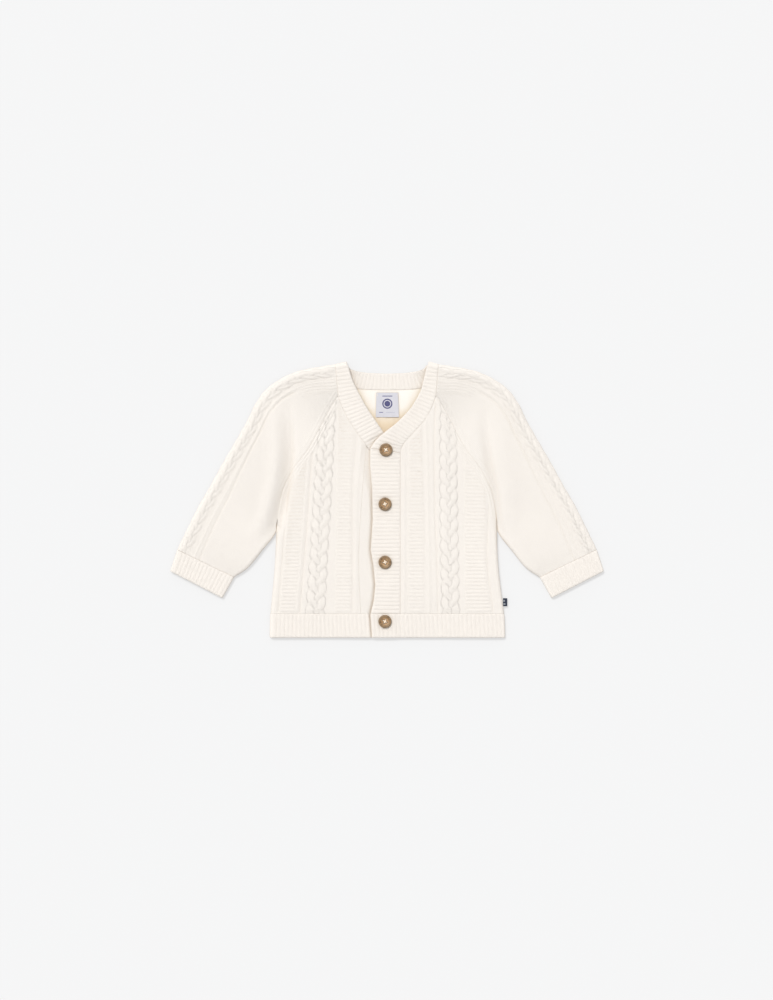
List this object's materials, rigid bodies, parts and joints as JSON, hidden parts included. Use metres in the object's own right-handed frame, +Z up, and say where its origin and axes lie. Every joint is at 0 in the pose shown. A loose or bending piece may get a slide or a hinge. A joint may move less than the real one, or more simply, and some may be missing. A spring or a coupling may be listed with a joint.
{
  "type": "baby cardigan",
  "caption": "Baby's cream knitted cardigan laid flat and buttoned: V-neck, raglan sleeves, cables and ladder columns on fronts and sleeves, ribbed bands, hem and cuffs, round dished buttons.",
  "frame": {"origin": "Middle of the bounding box in plan, on the surface that the garment lies on.", "axes": "+X runs across the garment to the wearer's left sleeve, the viewer's right from above; +Y runs from the hem to the neck; +Z is up, out of the fronts."},
  "size_m": [0.4592, 0.2926, 0.0128],
  "materials": {
    "knit": "soft matt cotton knit",
    "rib": "soft matt cotton rib",
    "inside": "soft matt cotton knit, purl side",
    "button": "satin brown with a darker rim",
    "label": "satin ribbon",
    "tab": "woven ribbon"
  },
  "bodies": {
    "root": {"front_right": "knit", "front_left": "knit", "sleeve_right": "knit", "sleeve_left": "knit", "neckband": "rib", "button_band": "rib", "button_stand": "rib", "hem_front_right": "rib", "hem_front_left": "rib", "hem_back": "rib", "cuff_right": "rib", "cuff_left": "rib", "back": "inside", "button_1": "button", "button_2": "button", "button_3": "button", "button_4": "button", "neck_label": "label", "side_tab": "tab"}
  },
  "joints": []
}
